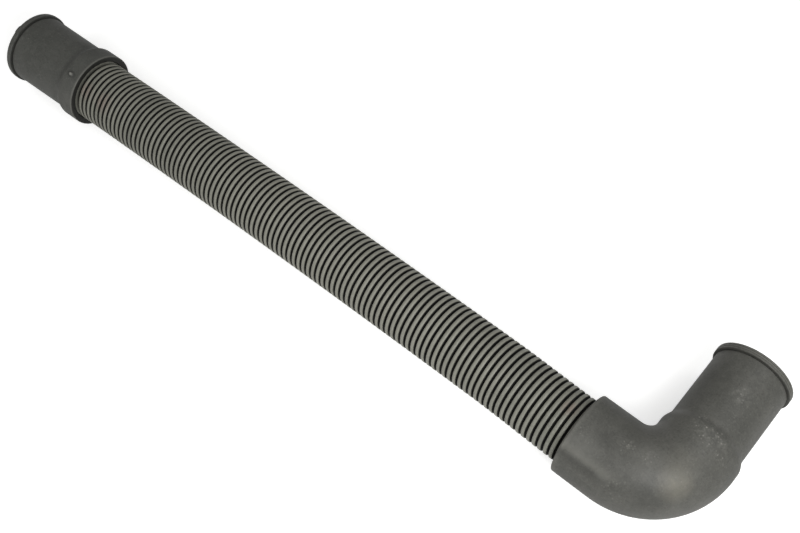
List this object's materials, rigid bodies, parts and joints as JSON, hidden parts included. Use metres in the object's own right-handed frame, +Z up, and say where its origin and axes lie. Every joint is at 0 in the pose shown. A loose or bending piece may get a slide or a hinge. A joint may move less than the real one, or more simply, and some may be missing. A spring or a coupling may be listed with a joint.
{
  "type": "dishwasher drain hose",
  "caption": "Corrugated drain hose with a straight rubber cuff on one end and a right-angled rubber elbow cuff on the other.",
  "frame": {"origin": "on the floor, under the middle of the bounding box", "axes": "+X along the hose from the straight cuff to the elbow, +Y nearly the way the elbow's outlet points, +Z up"},
  "size_m": [0.444, 0.0984, 0.0439],
  "materials": {
    "cuff_rubber": "matt dark grey rubber",
    "hose_plastic": "semi-matt grey plastic, dark in the grooves",
    "elbow_rubber": "matt mid grey rubber with a soft sheen"
  },
  "bodies": {
    "root": {"straight_cuff": "cuff_rubber", "corrugated_hose": "hose_plastic", "elbow_cuff": "elbow_rubber"}
  },
  "joints": []
}
